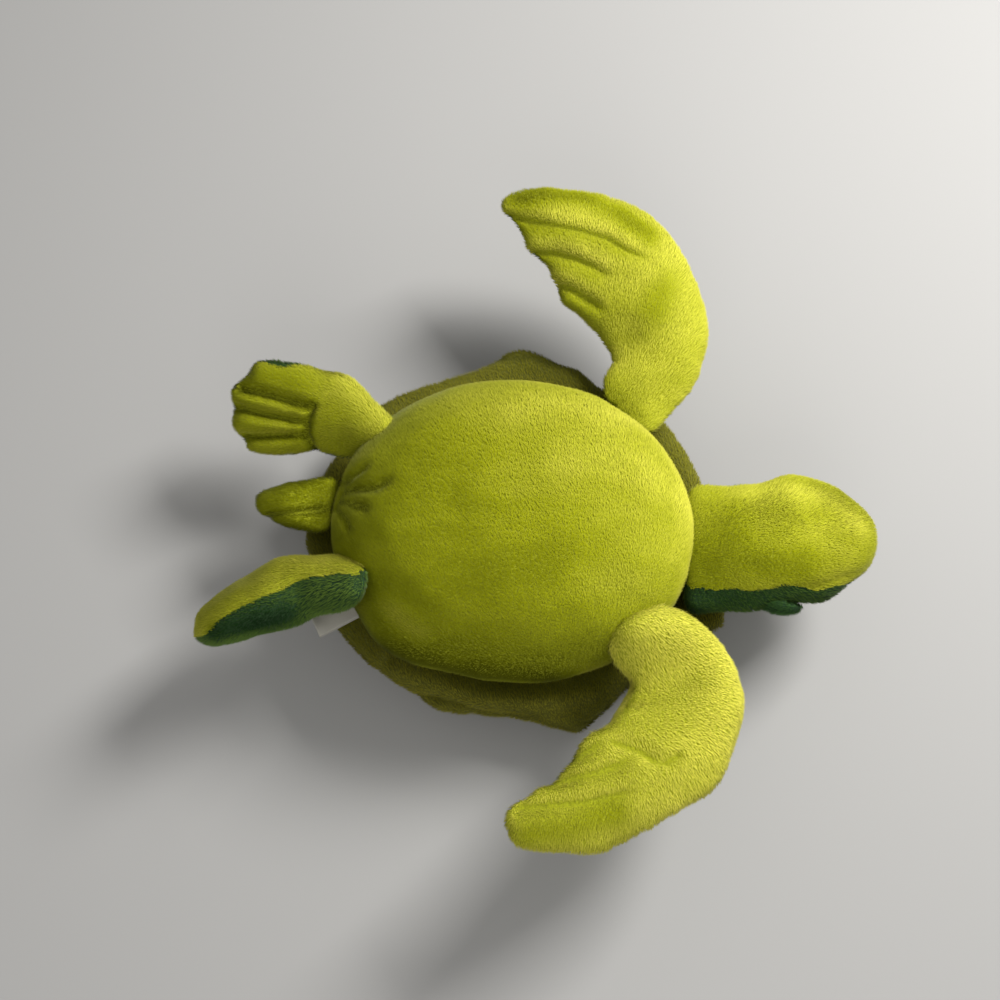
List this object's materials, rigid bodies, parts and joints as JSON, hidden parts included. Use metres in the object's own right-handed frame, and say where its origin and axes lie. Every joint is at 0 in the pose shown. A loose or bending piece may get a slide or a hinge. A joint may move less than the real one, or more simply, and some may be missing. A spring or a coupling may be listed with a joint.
{
  "type": "plush sea turtle",
  "caption": "Stuffed sea turtle lying on its shell, belly up, with a padded shell rim and soft flippers, head and tail that flop on their seams.",
  "frame": {"origin": "middle of the flat spot that the shell lies on", "axes": "+Z out of the belly, +X towards the snout, +Y towards the turtle's right side"},
  "size_m": [0.4211, 0.4387, 0.13],
  "materials": {
    "lime_plush": "short soft pile",
    "leaf_plush": "short soft pile",
    "olive_plush": "short soft pile",
    "lid_plush": "short soft pile",
    "fleece_filling": "loose fibre",
    "label_ribbon": "woven satin, blank",
    "bead_plastic": "polished",
    "washer_plastic": "as moulded"
  },
  "bodies": {
    "torso": {"belly_panel": "lime_plush", "shell_panel": "olive_plush", "body_filling": "fleece_filling", "rim_underside_panel": "olive_plush", "rim_top_panel": "olive_plush", "rim_filling": "fleece_filling", "sewn_label": "label_ribbon"},
    "head": {"throat_panel": "lime_plush", "crown_panel_left": "leaf_plush", "crown_panel_right": "leaf_plush", "head_filling": "fleece_filling", "eye_left": "bead_plastic", "eye_right": "bead_plastic", "eye_washer_left": "washer_plastic", "eye_washer_right": "washer_plastic", "eyelid_left": "lid_plush", "eyelid_right": "lid_plush"},
    "front_flipper_left": {"front_flipper_left_underside": "lime_plush", "front_flipper_left_top": "leaf_plush", "front_flipper_left_filling": "fleece_filling"},
    "front_flipper_right": {"front_flipper_right_underside": "lime_plush", "front_flipper_right_top": "leaf_plush", "front_flipper_right_filling": "fleece_filling"},
    "rear_flipper_left": {"rear_flipper_left_underside": "lime_plush", "rear_flipper_left_top": "leaf_plush", "rear_flipper_left_filling": "fleece_filling"},
    "rear_flipper_right": {"rear_flipper_right_underside": "lime_plush", "rear_flipper_right_top": "leaf_plush", "rear_flipper_right_filling": "fleece_filling"},
    "tail": {"tail_underside": "lime_plush", "tail_top": "lime_plush", "tail_filling": "fleece_filling"}
  },
  "joints": [
    {"name": "neck_nod", "type": "hinge", "parent": "torso", "child": "head", "pos_m": [0.1211, 0, 0.071], "axis": [0, -0.9962, 0.0872], "range_deg": [-15, 25], "stiffness_Nm_per_rad": 1.6},
    {"name": "front_left_flap", "type": "hinge", "parent": "torso", "child": "front_flipper_left", "pos_m": [0.08679, -0.07062, 0.071], "axis": [-0.7232, -0.6906, 0], "range_deg": [-15, 40], "stiffness_Nm_per_rad": 1.2},
    {"name": "front_right_flap", "type": "hinge", "parent": "torso", "child": "front_flipper_right", "pos_m": [0.06658, 0.08599, 0.071], "axis": [0.857, -0.5154, 0], "range_deg": [-15, 40], "stiffness_Nm_per_rad": 1.2},
    {"name": "rear_left_swing", "type": "hinge", "parent": "torso", "child": "rear_flipper_left", "pos_m": [-0.10933, -0.0493, 0.071], "axis": [-0.3015, 0.4709, -0.829], "range_deg": [-20, 30], "stiffness_Nm_per_rad": 0.5},
    {"name": "rear_right_flap", "type": "hinge", "parent": "torso", "child": "rear_flipper_right", "pos_m": [-0.10256, 0.05865, 0.071], "axis": [0.6289, 0.7744, 0.0698], "range_deg": [-15, 35], "stiffness_Nm_per_rad": 0.5},
    {"name": "tail_wag", "type": "hinge", "parent": "torso", "child": "tail", "pos_m": [-0.12362, 0.00918, 0.071], "axis": [0.1037, 0.9848, -0.1392], "range_deg": [-15, 30], "stiffness_Nm_per_rad": 0.1}
  ]
}
